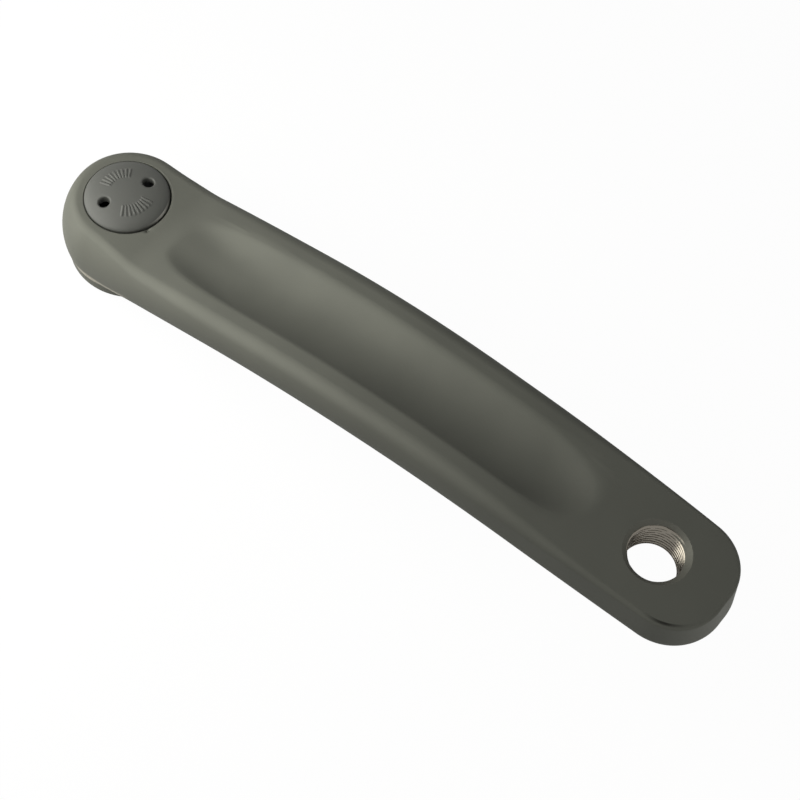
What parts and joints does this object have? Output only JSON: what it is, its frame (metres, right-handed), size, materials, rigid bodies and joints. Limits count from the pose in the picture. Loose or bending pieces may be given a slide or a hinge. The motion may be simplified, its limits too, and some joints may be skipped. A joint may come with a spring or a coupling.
{
  "type": "bicycle crank arm",
  "caption": "Left bicycle crank arm: a bent, fluted aluminium blade with a square taper socket under a screwed dust cap at one end and a threaded pedal eye at the other.",
  "frame": {"origin": "on the spindle axis, at the back face of the boss, where the spindle enters", "axes": "+X along the arm from the spindle axis to the pedal axis, +Z along the spindle axis, away from the bicycle"},
  "size_m": [0.2088, 0.0374, 0.0471],
  "materials": {
    "arm_finish": "matt dark grey coating, bare metal in the pedal thread",
    "cap_plastic": "fine moulded texture"
  },
  "bodies": {
    "root": {"crank_arm": "arm_finish", "dust_cap": "cap_plastic"}
  },
  "joints": []
}
